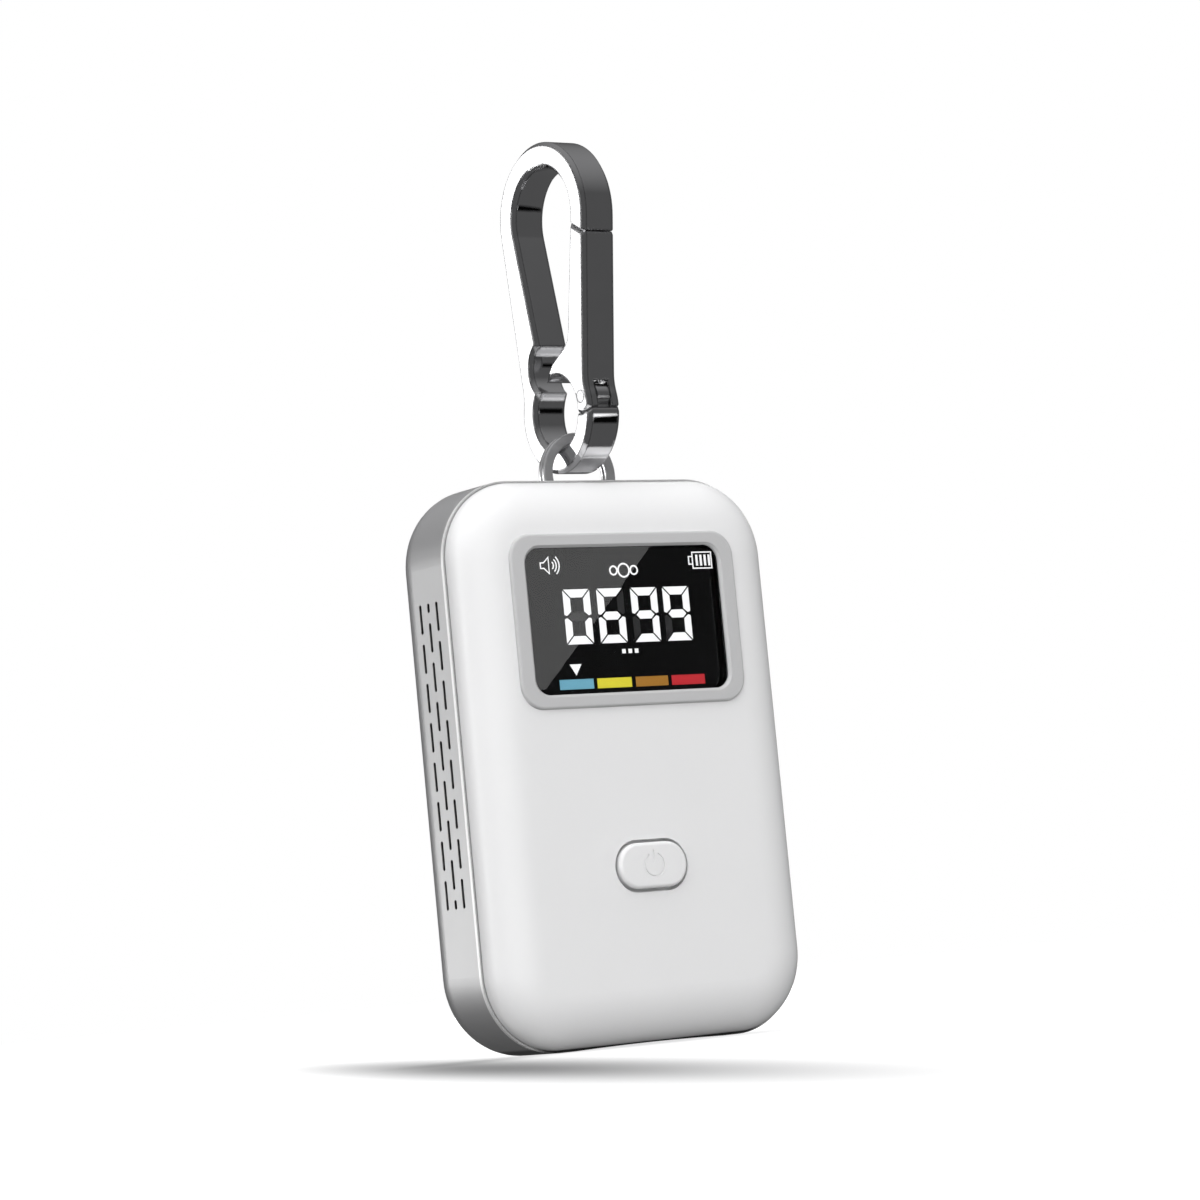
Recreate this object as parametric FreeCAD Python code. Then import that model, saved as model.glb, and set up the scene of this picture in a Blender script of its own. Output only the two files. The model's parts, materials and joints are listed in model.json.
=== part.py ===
"""Pocket air quality monitor: case, electronics, split ring and snap carabiner.

Millimetres, +Z up. The origin is the centre of the whole meter's footprint, on
the flat bottom it stands on. The display faces -Y. The carabiner is a flat plate
in the YZ plane, a little wider towards the front than towards the back, so the
case sits SET_BACK behind the origin. Every Y below counts from mid-case.
"""
import FreeCAD, Part
import math
import os

from FreeCAD import Vector

SET_BACK = 0.7         # mid-case lies this far behind the origin

# ---- case ----
CASE_W = 44.5          # across, X
CASE_H = 66.0          # tall, Z
CASE_R = 9.5           # corner radius seen from the front
BACK_Y = 7.5           # rear face
RIM_Y = -3.7           # seam between front cover and rear housing
FRONT_Y = -7.5         # flat of the front cover
WALL = 1.6
BACK_ROUND = 4.3       # rounding round the rear face
HOLLOW_DEPTH = 0.15    # the bottom is scooped out, so that the case stands on its two ends
HOLLOW_HALF = 10.5
COVER_BLEND = 6.0      # width of the soft curve round the front cover
COVER_WALL = 1.5
COVER_STEP = 0.3       # the cover is this much smaller than the housing all round
COVER_THIN = 1.4       # the inner curve is this much narrower than COVER_BLEND
LIP_DEPTH = 1.0
LIP_WALL = 0.8
LIP_ROOT = 0.6         # how far the lip's ring reaches into the cover
FIT = 0.1              # plain clearance between separate pieces
SEAT = 0.02            # gap between pieces that rest on each other

# ---- vents on both sides ----
VENT_ROWS = 8
VENT_PITCH = 4.54
VENT_LENGTH = 3.4
VENT_SHORT = 1.1
VENT_WIDTH = 0.48
VENT_TOP = 52.5
VENT_FRONT_Y = -1.48
VENT_MID_Y = 0.27
VENT_REAR_Y = 2.01

# ---- display ----
BEZEL_W = 31.7
BEZEL_H = 20.3
BEZEL_Z = 49.1         # centre height
BEZEL_R = 3.0
BEZEL_PROUD = 0.4
BEZEL_CHAMFER = 0.3    # round the visible opening
SIGHT_W = 27.4         # visible opening of the bezel
SIGHT_H = 17.0
SIGHT_R = 1.9
NECK_W = 29.9          # part of the bezel that passes through the cover
NECK_H = 18.6
NECK_R = 2.4
WINDOW_W = 28.6
WINDOW_H = 17.9
WINDOW_R = 2.25
WINDOW_T = 1.3
WINDOW_LEDGE = 0.1     # bezel seat behind the front cover's face
WINDOW_GAP = 0.03
LCD_W = 28.4
LCD_H = 18.8
LCD_T = 1.2
LIGHT_T = 1.1
LCD_R = 0.4
LCD_FRONT_Y = -5.95
LIGHT_MARGIN = 0.3     # the light guide is this much smaller all round
HOLDER_WALL = 0.75
HOLDER_LEDGE = 2.5     # width of the ledge the display stack rests on
FLEX_HALF = 7.5
FLEX_T = 0.12
FLEX_START = 0.75      # behind the front of the display glass
FLEX_LENGTH = 5.0
FLEX_SLOT_HALF = 8.2

# ---- button and its switch ----
BUTTON_Z = 20.4
BUTTON_W = 9.5
BUTTON_H = 5.35
BUTTON_GAP = 0.35
BUTTON_PROUD = 0.55
BUTTON_TRAVEL = 0.4
FLANGE_MARGIN = 1.1
FLANGE_T = 0.8
BUTTON_ROUND = 0.45
MARK_R = 1.35          # power mark sunk in the key
MARK_W = 0.26
MARK_DEPTH = 0.12
MARK_GAP = 1.2         # opening at the top of the mark's ring
SWITCH_SIZE = 4.4
SWITCH_SLACK = 0.15    # between the pressed key and the switch body
SWITCH_FLOOR = 0.2
LEG_SIZE = 0.8
LEG_T = 0.25
LEG_SPREAD = 1.4
PLUNGER_R = 1.0
PLUNGER_FIT = 0.06
PLUNGER_END = 0.05     # clearance left at full travel

# ---- circuit board ----
PCB_FRONT_Y = -3.0
PCB_T = 1.0
PCB_BACK_Y = PCB_FRONT_Y + PCB_T
PCB_W = 38.0
PCB_BOTTOM = 3.6
PCB_TOP = 61.4
PCB_R = 4.5
PCB_HOLE_R = 1.0
PCB_NOTCH_HALF = 6.2   # leaves room for the ring inside the case
PCB_NOTCH_DEPTH = 1.2

# ---- components on the board: (x, z, width, height, thickness) ----
MCU_CHIP = (6.0, 28.0, 7.0, 7.0, 0.9)
CHARGER_CHIP = (2.5, 12.0, 3.0, 3.0, 0.8)
HUMIDITY_CHIP = (-16.5, 22.0, 2.5, 2.5, 0.9)
HUMIDITY_PORT_R = 0.5
INDUCTOR = (8.5, 5.9, 4.0, 4.0, 1.6)
INDUCTOR_CAP_R = 1.6
INDUCTOR_CAP_T = 0.2
CAPACITOR = (0.8, 1.6, 0.8)
CAPACITOR_SPOTS = ((-2.5, 10.5), (-2.5, 12.5), (8.0, 10.0), (10.0, 10.0), (12.0, 10.0),
                   (-2.0, 38.5), (-2.0, 40.5), (12.5, 38.5))
BUZZER_X = 11.0
BUZZER_Z = 52.6
BUZZER_R = 4.2
BUZZER_T = 3.0
BUZZER_HOLE_R = 0.9

# ---- gas sensor and its air chamber ----
SENSOR_X = -13.6
SENSOR_Z = 36.0
CARRIER_W = 11.4
CARRIER_H = 13.4
CARRIER_T = 0.8
CAN_W = 10.1
CAN_T = 5.4
GAS_PORT_R = 1.6
GAS_PORT_DEPTH = 0.8
MEMBRANE_T = 0.45
FOAM_T = 1.2
FOAM_LEFT = -19.6
FOAM_RIGHT = -6.2
FOAM_BOTTOM = 12.0
FOAM_TOP = 56.0
SCREEN_T = 0.2
SCREEN_GAP = 0.02
SCREEN_FRONT_Y = -2.55
SCREEN_BACK_Y = 3.0
SCREEN_OVER_TOP = 1.2
SCREEN_OVER_BOTTOM = 0.6

# ---- battery ----
CELL_LEFT = -5.4
CELL_RIGHT = 17.4
CELL_FRONT_Y = 0.3
CELL_BACK_Y = 5.0
CELL_BOTTOM = 12.0
CELL_TOP = 46.0
CELL_ROUND = 0.9
TAB_INSET = 1.4
TAB_FRONT_Y = 2.2
TAB_BACK_Y = 3.1
TAB_TOP = 48.0
PAD_INSET = 2.4
PAD_MARGIN = 4.0
LEAD_R = 0.4
LEAD_RED_X = 2.9
LEAD_BLACK_X = 1.3
LEAD_START = (2.65, 48.02)
LEAD_END = (-0.8, 51.98)
LEAD_STRAIGHT = 0.4
HEADER_LEFT = -0.4
HEADER_RIGHT = 4.6
HEADER_BOTTOM = 52.0
HEADER_TOP = 57.0
HEADER_REAR_Y = 0.9
HEADER_WALL = 0.4
HEADER_END_WALL = 0.6
PLUG_GAP = 0.05

# ---- case screws ----
SCREW_X = 16.4
SCREW_LOW_Z = 6.9
SCREW_HIGH_Z = 59.1
SCREW_R = 0.8
SCREW_HEAD_R = 1.5
SCREW_HEAD_T = 1.0
SCREW_SINK = 0.3
SCREW_SLOT = 0.36
SCREW_SLOT_LENGTH = 1.8
SCREW_SLOT_DEPTH = 0.5
SCREW_TIP_Y = -5.0
BOSS_R = 2.2
INSERT_R = 1.35
INSERT_T = 2.2

# ---- USB port in the bottom ----
USB_W = 8.94
USB_H = 3.2
USB_DEPTH = 7.3
USB_Z = 0.5
USB_WALL = 0.3
USB_Y = PCB_BACK_Y + USB_H / 2 + SEAT
USB_CORE_T = 2.0
TONGUE_W = 6.7
TONGUE_T = 0.7
TONGUE_SINK = 0.8      # the contact tongue starts this far inside the shell
PORT_MARGIN = 0.3      # opening in the case, all round the shell
PORT_CORNER = 1.6

# ---- split ring ----
RING_Z = 67.1          # centre of the ring
RING_R = 4.45          # mean radius
RING_WIRE = 1.3        # radial width of the flat wire
COIL_T = 0.64          # thickness of one coil
COIL_SPACING = 0.68    # from coil centre to coil centre
RING_CLEAR = 0.15
RING_SLOT_Y = 1.5      # half length of the slots in the case top
RING_CORNER = 0.22     # rounding of the wire's edges
BRIDGE_MARGIN = 1.0    # the bridge is this much longer than the slots at each end
BRIDGE_DEPTH = 6.0
STEP_ANGLE = 40.0      # stretch where one coil crosses over to the other
STEP_SECTIONS = 6

# ---- carabiner, all in the YZ plane ----
PLATE_T = 4.6
PLATE_EDGE = 0.5       # bevel round every outline
HEAD_Y = -0.7          # wide upper arc
HEAD_Z = 97.9
HEAD_R = 9.0
HEAD_HOLE_Y = -0.8
HEAD_HOLE_R = 5.9
FOOT_Z = 74.5          # small lower arc
FOOT_R = 7.1
EYE_Z = 74.6
EYE_R = 4.3
WAIST_HALF = 6.6
WAIST_ROUND = 5.0
NOTCH_Y = 1.0          # round notch in the spine, beside the tongue's tip
NOTCH_Z = 80.2
NOTCH_R = 3.35
THROAT_ANGLE = 62.0    # where the notch meets the main opening
NOSE_IN_Y = -6.7       # parting line between gate and nose
NOSE_IN_Z = 96.1
NOSE_OUT_Y = -9.6
NOSE_OUT_Z = 94.35
TONGUE_TIP_ANGLE = 66.0
TONGUE_BEND_Y = 0.1
TONGUE_BEND_Z = 80.6
TONGUE_ROOT_Y = -3.6
TONGUE_ROOT_Z = 82.6
TONGUE_ROUND = 2.0
PIVOT_Y = -5.5
PIVOT_Z = 75.7
PIVOT_R = 0.7
PIVOT_FIT = 0.05
KNUCKLE_R = 2.1
LUG_T = 1.8
LUG_R = 1.5
LUG_SIDE = 0.1         # clearance on each side of the lug
STEM_TOP = (-1.1, 1.1)     # lug stem's edges in Y from the pivot, at the pivot's height
STEM_FOOT = (-0.9, 1.6)    # and STEM_DROP below it
STEM_DROP = 3.2
GATE_GAP = 0.12
SPRING_Z0 = 77.4
SPRING_LEN = 5.4
SPRING_COIL_R = 0.6
SPRING_WIRE_R = 0.12
SPRING_TURNS = 7
SPRING_BORE_R = 0.85
SPRING_END = 0.05      # clearance at each end of the spring


# ---------------------------------------------------------------- helpers
def box(x0, x1, y0, y1, z0, z1):
    """Plain box between two corners."""
    return Part.makeBox(x1 - x0, y1 - y0, z1 - z0, Vector(x0, y0, z0))


def cyl_y(x, z, radius, y0, y1):
    """Cylinder along Y."""
    return Part.makeCylinder(radius, y1 - y0, Vector(x, y0, z), Vector(0, 1, 0))


def cyl_x(y, z, radius, x0, x1):
    """Cylinder along X."""
    return Part.makeCylinder(radius, x1 - x0, Vector(x0, y, z), Vector(1, 0, 0))


def edges_along(shape, axis):
    """Straight edges parallel to one axis (0, 1 or 2)."""
    found = []
    for edge in shape.Edges:
        ends = [vertex.Point for vertex in edge.Vertexes]
        if len(ends) != 2:
            continue
        span = ends[1] - ends[0]
        others = [abs(span[i]) for i in range(3) if i != axis]
        if max(others) < 1e-6 < abs(span[axis]):
            found.append(edge)
    return found


def edges_at(shape, axis, value):
    """Edges that lie wholly in the plane axis = value."""
    found = []
    for edge in shape.Edges:
        bounds = edge.BoundBox
        low = (bounds.XMin, bounds.YMin, bounds.ZMin)[axis]
        high = (bounds.XMax, bounds.YMax, bounds.ZMax)[axis]
        if abs(low - value) < 1e-4 and abs(high - value) < 1e-4:
            found.append(edge)
    return found


def slab(width, height, radius, z_mid, y0, y1, x_mid=0.0):
    """Rounded rectangle in the XZ plane, thick along Y."""
    half = width / 2
    block = box(x_mid - half, x_mid + half, y0, y1, z_mid - height / 2, z_mid + height / 2)
    return block.makeFillet(radius, edges_along(block, 1))


def tablet(x0, x1, y0, y1, z0, z1, radius):
    """Box with every edge rounded."""
    block = box(x0, x1, y0, y1, z0, z1)
    return block.makeFillet(radius, block.Edges)


def pillow(width, height, radius, depth, blend):
    """Slab from y = 0 forward to -depth whose front edge is a wide soft ellipse."""
    straight = blend * 0.06
    block = slab(width, height, radius, CASE_H / 2, -(blend + straight), 0)
    block = block.makeFillet(blend, edges_at(block, 1, -(blend + straight)))
    squash = FreeCAD.Matrix()
    squash.scale(1, depth / (blend + straight), 1)
    return block.transformGeometry(squash)


def moved(shape, x=0.0, y=0.0, z=0.0):
    """Copy of a shape, shifted."""
    copy = shape.copy()
    copy.translate(Vector(x, y, z))
    return copy


def extrude_yz(points, half):
    """Polygon of (y, z) points, extruded to x = -half .. half."""
    corners = [Vector(-half, y, z) for y, z in points]
    wire = Part.makePolygon(corners + [corners[0]])
    return Part.Face(wire).extrude(Vector(2 * half, 0, 0))


def fuse_all(shapes):
    """Union of a list of shapes."""
    result = shapes[0]
    for shape in shapes[1:]:
        result = result.fuse(shape)
    return result.removeSplitter()


def screw_points():
    """Centres of the four case screws."""
    return [(x, z) for z in (SCREW_LOW_Z, SCREW_HIGH_Z) for x in (-SCREW_X, SCREW_X)]


# ---------------------------------------------------------------- case
def vent_slots(side):
    """Three staggered columns of slots through one side wall."""
    x_mid = side * (CASE_W / 2 - WALL / 2)
    slots = []

    def slot(y_mid, top, length):
        block = box(x_mid - WALL, x_mid + WALL, y_mid - VENT_WIDTH / 2,
                    y_mid + VENT_WIDTH / 2, top - length, top)
        slots.append(block.makeFillet(VENT_WIDTH * 0.49, edges_along(block, 0)))

    for row in range(VENT_ROWS):
        top = VENT_TOP - row * VENT_PITCH
        slot(VENT_FRONT_Y, top, VENT_LENGTH)
        slot(VENT_REAR_Y, top, VENT_LENGTH)
    for row in range(VENT_ROWS - 1):
        slot(VENT_MID_Y, VENT_TOP - (row + 0.5) * VENT_PITCH, VENT_LENGTH)
    slot(VENT_MID_Y, VENT_TOP, VENT_SHORT)
    bottom = VENT_TOP - (VENT_ROWS - 1) * VENT_PITCH - VENT_LENGTH
    slot(VENT_MID_Y, bottom + VENT_SHORT, VENT_SHORT)
    return slots


def ring_passage():
    """Annular channel the split ring runs through."""
    outer = RING_R + RING_WIRE / 2 + RING_CLEAR
    inner = RING_R - RING_WIRE / 2 - RING_CLEAR
    channel = cyl_y(0, RING_Z, outer, -RING_SLOT_Y, RING_SLOT_Y)
    return channel.cut(cyl_y(0, RING_Z, inner, -RING_SLOT_Y, RING_SLOT_Y))


def ring_bridge():
    """Bar in the case top that the split ring is threaded round."""
    inner = RING_R - RING_WIRE / 2 - RING_CLEAR
    reach = RING_SLOT_Y + BRIDGE_MARGIN
    bar = cyl_y(0, RING_Z, inner, -reach, reach)
    inside = box(-inner, inner, -reach, reach, CASE_H - BRIDGE_DEPTH, CASE_H - 0.001)
    return bar.common(inside)


def port_opening():
    """Cut for the USB port through the bottom wall."""
    half_w = USB_W / 2 + PORT_MARGIN
    half_h = USB_H / 2 + PORT_MARGIN
    block = box(-half_w, half_w, USB_Y - half_h, USB_Y + half_h, -1, WALL + FIT)
    return block.makeFillet(PORT_CORNER, edges_along(block, 2))


def bottom_hollow():
    """Shallow scoop along the underside."""
    radius = (HOLLOW_HALF ** 2 + HOLLOW_DEPTH ** 2) / (2 * HOLLOW_DEPTH)
    return cyl_y(0, HOLLOW_DEPTH - radius, radius, RIM_Y - 1, BACK_Y + 1)


def rear_housing():
    """Tub with vents, screw bosses, USB opening and the ring bridge."""
    shell = slab(CASE_W, CASE_H, CASE_R, CASE_H / 2, RIM_Y, BACK_Y)
    shell = shell.makeFillet(BACK_ROUND, edges_at(shell, 1, BACK_Y))
    inner_back = BACK_Y - WALL
    cavity = slab(CASE_W - 2 * WALL, CASE_H - 2 * WALL, CASE_R - WALL,
                  CASE_H / 2, RIM_Y - 1, inner_back)
    cavity = cavity.makeFillet(BACK_ROUND - WALL, edges_at(cavity, 1, inner_back))
    shell = shell.cut(cavity)
    bosses = [cyl_y(x, z, BOSS_R, PCB_BACK_Y, inner_back + 0.2) for x, z in screw_points()]
    shell = fuse_all([shell, ring_bridge()] + bosses)
    cuts = vent_slots(-1) + vent_slots(1)
    for x, z in screw_points():
        cuts.append(cyl_y(x, z, SCREW_R + FIT, PCB_BACK_Y - 1, BACK_Y + 1))
        seat = BACK_Y - SCREW_HEAD_T - SCREW_SINK
        cuts.append(cyl_y(x, z, SCREW_HEAD_R + FIT, seat, BACK_Y + 1))
    cuts += [port_opening(), ring_passage(), bottom_hollow()]
    return shell.cut(cuts)


def button_stadium(margin, y0, y1):
    """Stadium shape of the button, grown by a margin all round."""
    height = BUTTON_H + 2 * margin
    return slab(BUTTON_W + 2 * margin, height, height / 2 - 0.01, BUTTON_Z, y0, y1)


def cover_shell():
    """Thin soft-edged dish of the front cover."""
    width = CASE_W - 2 * COVER_STEP
    height = CASE_H - 2 * COVER_STEP
    depth = RIM_Y - FRONT_Y
    outer = pillow(width, height, CASE_R - COVER_STEP, depth, COVER_BLEND)
    inner = pillow(width - 2 * WALL, height - 2 * WALL, CASE_R - COVER_STEP - WALL,
                   depth - COVER_WALL, COVER_BLEND - COVER_THIN)
    return moved(outer.cut(inner), y=RIM_Y)


def cover_lip():
    """Ring that plugs the cover into the rear housing."""
    width = CASE_W - 2 * WALL - 2 * FIT
    height = CASE_H - 2 * WALL - 2 * FIT
    radius = CASE_R - WALL - FIT
    front = RIM_Y - LIP_ROOT
    back = RIM_Y + LIP_DEPTH
    ring = slab(width, height, radius, CASE_H / 2, front, back)
    well = slab(width - 2 * LIP_WALL, height - 2 * LIP_WALL, radius - LIP_WALL,
                CASE_H / 2, front - 1, back + 1)
    return ring.cut(well)


def front_cover():
    """Soft front shell with openings for the display and the button."""
    bosses = [cyl_y(x, z, BOSS_R, FRONT_Y + COVER_WALL - 0.3, PCB_FRONT_Y)
              for x, z in screw_points()]
    shell = fuse_all([cover_shell(), cover_lip()] + bosses)
    cuts = [slab(NECK_W + FIT, NECK_H + FIT, NECK_R, BEZEL_Z, FRONT_Y - 1, RIM_Y)]
    cuts.append(button_stadium(BUTTON_GAP, FRONT_Y - 1, RIM_Y))
    for x, z in screw_points():
        cuts.append(cyl_y(x, z, INSERT_R, PCB_FRONT_Y - INSERT_T - 0.2, PCB_FRONT_Y + 1))
    return shell.cut(cuts)


# ---------------------------------------------------------------- display
def display_bezel():
    """Raised frame with a neck through the cover and a seat for the window."""
    proud = FRONT_Y - BEZEL_PROUD
    rim = slab(BEZEL_W, BEZEL_H, BEZEL_R, BEZEL_Z, proud, FRONT_Y)
    rim = rim.makeFillet(BEZEL_PROUD * 0.85, edges_at(rim, 1, proud))
    neck_back = FRONT_Y + COVER_WALL
    neck = slab(NECK_W, NECK_H, NECK_R - 0.05, BEZEL_Z, FRONT_Y, neck_back)
    body = fuse_all([rim, neck])
    sight = slab(SIGHT_W, SIGHT_H, SIGHT_R, BEZEL_Z, proud - 1, neck_back + 1)
    seat = slab(WINDOW_W + FIT, WINDOW_H + FIT, WINDOW_R + FIT / 2, BEZEL_Z,
                FRONT_Y + WINDOW_LEDGE, neck_back + 1)
    body = body.cut([sight, seat])
    inner_edges = []
    for edge in edges_at(body, 1, proud):
        bounds = edge.BoundBox
        if max(abs(bounds.XMin), abs(bounds.XMax)) < SIGHT_W / 2 + 0.01:
            inner_edges.append(edge)
    return body.makeChamfer(BEZEL_CHAMFER, inner_edges)


def display_window():
    """Clear plate glued into the bezel from behind."""
    front = FRONT_Y + WINDOW_LEDGE + WINDOW_GAP
    return slab(WINDOW_W, WINDOW_H, WINDOW_R, BEZEL_Z, front, front + WINDOW_T)


def lcd_panel():
    """Display glass."""
    return slab(LCD_W, LCD_H, LCD_R, BEZEL_Z, LCD_FRONT_Y, LCD_FRONT_Y + LCD_T)


def lcd_backlight():
    """Light guide behind the display glass."""
    front = LCD_FRONT_Y + LCD_T + SEAT
    return slab(LCD_W - 2 * LIGHT_MARGIN, LCD_H - 2 * LIGHT_MARGIN, LCD_R, BEZEL_Z,
                front, front + LIGHT_T)


def lcd_holder():
    """Tray that holds the display stack off the board."""
    outer = slab(LCD_W + 2 * HOLDER_WALL, LCD_H + 2 * HOLDER_WALL, 1.0, BEZEL_Z,
                 LCD_FRONT_Y + 0.05, PCB_FRONT_Y)
    pocket = slab(LCD_W + FIT, LCD_H + FIT, LCD_R, BEZEL_Z, LCD_FRONT_Y - 1,
                  LCD_FRONT_Y + LCD_T + LIGHT_T + SEAT + 0.01)
    hole = slab(LCD_W - 2 * HOLDER_LEDGE, LCD_H - 2 * HOLDER_LEDGE, 1.0, BEZEL_Z,
                LCD_FRONT_Y, PCB_FRONT_Y + 1)
    bottom = BEZEL_Z - LCD_H / 2
    exit_slot = box(-FLEX_SLOT_HALF, FLEX_SLOT_HALF, LCD_FRONT_Y - 1, LCD_FRONT_Y + 2.6,
                    bottom - 2 * HOLDER_WALL, bottom + SEAT)
    bosses = [cyl_y(x, z, BOSS_R + 2 * FIT, LCD_FRONT_Y - 1, PCB_FRONT_Y + 1)
              for x, z in screw_points()]
    return outer.cut([pocket, hole, exit_slot] + bosses)


def lcd_flex():
    """Flat flexible cable from the glass edge down to the board."""
    top = BEZEL_Z - LCD_H / 2
    front = LCD_FRONT_Y + FLEX_START
    on_board = PCB_FRONT_Y - FLEX_T - 0.01
    path = [(front, top - 0.01), (front, top - 1.2), (PCB_FRONT_Y - 0.9, top - 2.0),
            (on_board, top - 2.6), (on_board, top - FLEX_LENGTH)]
    back = [(y + FLEX_T, z) for y, z in path]
    return extrude_yz(path + back[::-1], FLEX_HALF)


# ---------------------------------------------------------------- button
def power_mark(front):
    """Open ring with a bar in its gap, sunk in the key."""
    depth = front + MARK_DEPTH
    outer = cyl_y(0, BUTTON_Z, MARK_R + MARK_W / 2, front - 1, depth)
    inner = cyl_y(0, BUTTON_Z, MARK_R - MARK_W / 2, front - 2, depth + 1)
    gap = box(-MARK_GAP / 2, MARK_GAP / 2, front - 2, depth + 1, BUTTON_Z, BUTTON_Z + 2 * MARK_R)
    bar = box(-MARK_W / 2, MARK_W / 2, front - 1, depth, BUTTON_Z + 0.25, BUTTON_Z + 1.75)
    return [outer.cut([inner, gap]), bar]


def power_button():
    """Stadium key with a retaining flange and a power mark sunk in its top."""
    front = FRONT_Y - BUTTON_PROUD
    wall_in = FRONT_Y + COVER_WALL
    cap = button_stadium(0, front, wall_in + FLANGE_T)
    cap = cap.makeFillet(BUTTON_ROUND, edges_at(cap, 1, front))
    flange = button_stadium(FLANGE_MARGIN, wall_in + 0.05, wall_in + FLANGE_T)
    return fuse_all([cap, flange]).cut(power_mark(front))


def switch_face_y():
    """Front face of the tact switch body."""
    return FRONT_Y + COVER_WALL + FLANGE_T + BUTTON_TRAVEL + SWITCH_SLACK


def tact_switch():
    """Switch body with a well for its plunger."""
    half = SWITCH_SIZE / 2
    body = box(-half, half, switch_face_y(), PCB_FRONT_Y, BUTTON_Z - half, BUTTON_Z + half)
    body = body.makeFillet(0.3, edges_along(body, 1))
    well = cyl_y(0, BUTTON_Z, PLUNGER_R + PLUNGER_FIT, switch_face_y() - 1,
                 PCB_FRONT_Y - SWITCH_FLOOR)
    legs = []
    for x in (-half - 0.3, half + 0.3):
        for z in (BUTTON_Z - LEG_SPREAD, BUTTON_Z + LEG_SPREAD):
            leg = box(x - LEG_SIZE / 2, x + LEG_SIZE / 2, PCB_FRONT_Y - LEG_T, PCB_FRONT_Y,
                      z - LEG_SIZE / 2, z + LEG_SIZE / 2)
            legs.append(leg)
    return fuse_all([body.cut(well)] + legs)


def switch_plunger():
    """Small plunger between the key and the switch contacts."""
    front = FRONT_Y + COVER_WALL + FLANGE_T + SEAT
    back = PCB_FRONT_Y - SWITCH_FLOOR - BUTTON_TRAVEL - PLUNGER_END
    plunger = cyl_y(0, BUTTON_Z, PLUNGER_R, front, back)
    return plunger.makeFillet(0.15, edges_at(plunger, 1, front))


# ---------------------------------------------------------------- board
def main_pcb():
    """Main board clamped between the bosses by the case screws."""
    mid = (PCB_BOTTOM + PCB_TOP) / 2
    board = slab(PCB_W, PCB_TOP - PCB_BOTTOM, PCB_R, mid, PCB_FRONT_Y, PCB_BACK_Y)
    cuts = [cyl_y(x, z, PCB_HOLE_R, PCB_FRONT_Y - 1, PCB_BACK_Y + 1) for x, z in screw_points()]
    cuts.append(box(-PCB_NOTCH_HALF, PCB_NOTCH_HALF, PCB_FRONT_Y - 1, PCB_BACK_Y + 1,
                    PCB_TOP - PCB_NOTCH_DEPTH, PCB_TOP + 1))
    return board.cut(cuts)


def chip(x, z, width, height, tall, radius=0.15):
    """Flat component on the rear of the board."""
    return slab(width, height, radius, z, PCB_BACK_Y, PCB_BACK_Y + tall, x)


def mcu_chip():
    """Processor."""
    return chip(*MCU_CHIP)


def charger_chip():
    """Charging controller."""
    return chip(*CHARGER_CHIP)


def chip_capacitors():
    """Small ceramic parts in rows beside the chips."""
    return Part.makeCompound([chip(x, z, *CAPACITOR, 0.1) for x, z in CAPACITOR_SPOTS])


def power_inductor():
    """Shielded inductor of the charging circuit."""
    x, z, _, _, tall = INDUCTOR
    top = PCB_BACK_Y + tall
    cap = cyl_y(x, z, INDUCTOR_CAP_R, top, top + INDUCTOR_CAP_T)
    return fuse_all([chip(*INDUCTOR, 0.8), cap])


def co2_sensor_base():
    """Carrier board of the gas sensor."""
    return slab(CARRIER_W, CARRIER_H, 0.5, SENSOR_Z, PCB_BACK_Y, PCB_BACK_Y + CARRIER_T, SENSOR_X)


def can_lid_y():
    """Outer face of the gas sensor's lid."""
    return PCB_BACK_Y + CARRIER_T + CAN_T


def co2_sensor_can():
    """Metal can of the gas sensor with a gas port in its cap."""
    lid = can_lid_y()
    can = slab(CAN_W, CAN_W, 0.8, SENSOR_Z, lid - CAN_T, lid, SENSOR_X)
    can = can.makeFillet(0.4, edges_at(can, 1, lid))
    return can.cut(cyl_y(SENSOR_X, SENSOR_Z, GAS_PORT_R, lid - GAS_PORT_DEPTH, lid + 1))


def sensor_membrane():
    """Porous disc in the gas port."""
    front = can_lid_y() - GAS_PORT_DEPTH + 0.05
    return cyl_y(SENSOR_X, SENSOR_Z, GAS_PORT_R - 0.05, front, front + MEMBRANE_T)


def humidity_sensor():
    """Small temperature and humidity sensor beside the vents."""
    x, z, _, _, tall = HUMIDITY_CHIP
    port = cyl_y(x, z, HUMIDITY_PORT_R, PCB_BACK_Y + tall - 0.3, PCB_BACK_Y + tall + 1)
    return chip(*HUMIDITY_CHIP).cut(port)


def chamber_foam():
    """Foam wall that keeps the air chamber apart from the battery."""
    front = PCB_BACK_Y + SEAT
    rear_wall = BACK_Y - WALL
    turn = FOAM_RIGHT - FOAM_T
    walls = [box(turn, FOAM_RIGHT, front, rear_wall - SEAT, FOAM_BOTTOM, FOAM_TOP)]
    for z in (FOAM_BOTTOM, FOAM_TOP - FOAM_T):
        walls.append(box(FOAM_LEFT, turn, front, rear_wall - FOAM_T, z, z + FOAM_T))
    return fuse_all(walls)


def battery_cell():
    """Pouch cell."""
    body = tablet(CELL_LEFT, CELL_RIGHT, CELL_FRONT_Y, CELL_BACK_Y, CELL_BOTTOM, CELL_TOP, CELL_ROUND)
    tab = box(CELL_LEFT + TAB_INSET, CELL_RIGHT - TAB_INSET, TAB_FRONT_Y, TAB_BACK_Y,
              CELL_TOP - 0.5, TAB_TOP)
    return fuse_all([body, tab])


def battery_pad():
    """Double-sided pad between the cell and the rear wall."""
    return box(CELL_LEFT + PAD_INSET, CELL_RIGHT - PAD_INSET, CELL_BACK_Y + SEAT,
               BACK_Y - WALL - SEAT, CELL_BOTTOM + PAD_MARGIN, CELL_TOP - PAD_MARGIN)


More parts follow.
